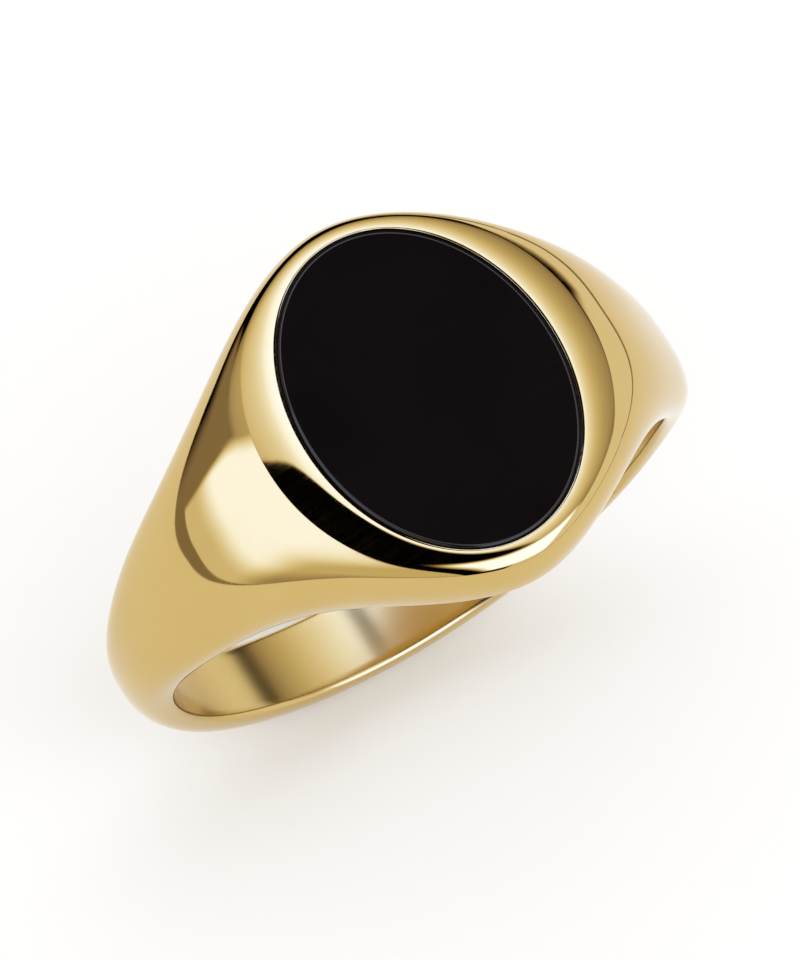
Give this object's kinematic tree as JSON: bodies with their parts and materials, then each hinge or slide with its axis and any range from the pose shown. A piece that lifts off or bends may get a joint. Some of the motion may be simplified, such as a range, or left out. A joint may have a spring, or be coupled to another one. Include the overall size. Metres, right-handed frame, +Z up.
{
  "type": "signet ring",
  "caption": "Signet ring: tapering gold band with broad shoulders and a flat oval onyx table set flush in a rolled rim.",
  "frame": {"origin": "bottom centre of the ring's box, at the lowest point of the band, where the ring stands on a table", "axes": "+Z up through the middle of the oval table, Y along the finger, X across the shoulders"},
  "size_m": [0.0208, 0.0134, 0.0216],
  "materials": {
    "polished_gold": "mirror polished 18 ct yellow gold",
    "gold_solder": "polished hard gold solder, a shade paler than the gold",
    "black_cement": "set black epoxy cement",
    "black_onyx": "flat polished black onyx"
  },
  "bodies": {
    "root": {"signet_head": "polished_gold", "back_shank": "polished_gold", "solder_seam_right": "gold_solder", "solder_seam_left": "gold_solder", "cement_bed": "black_cement", "onyx_tablet": "black_onyx"}
  },
  "joints": []
}
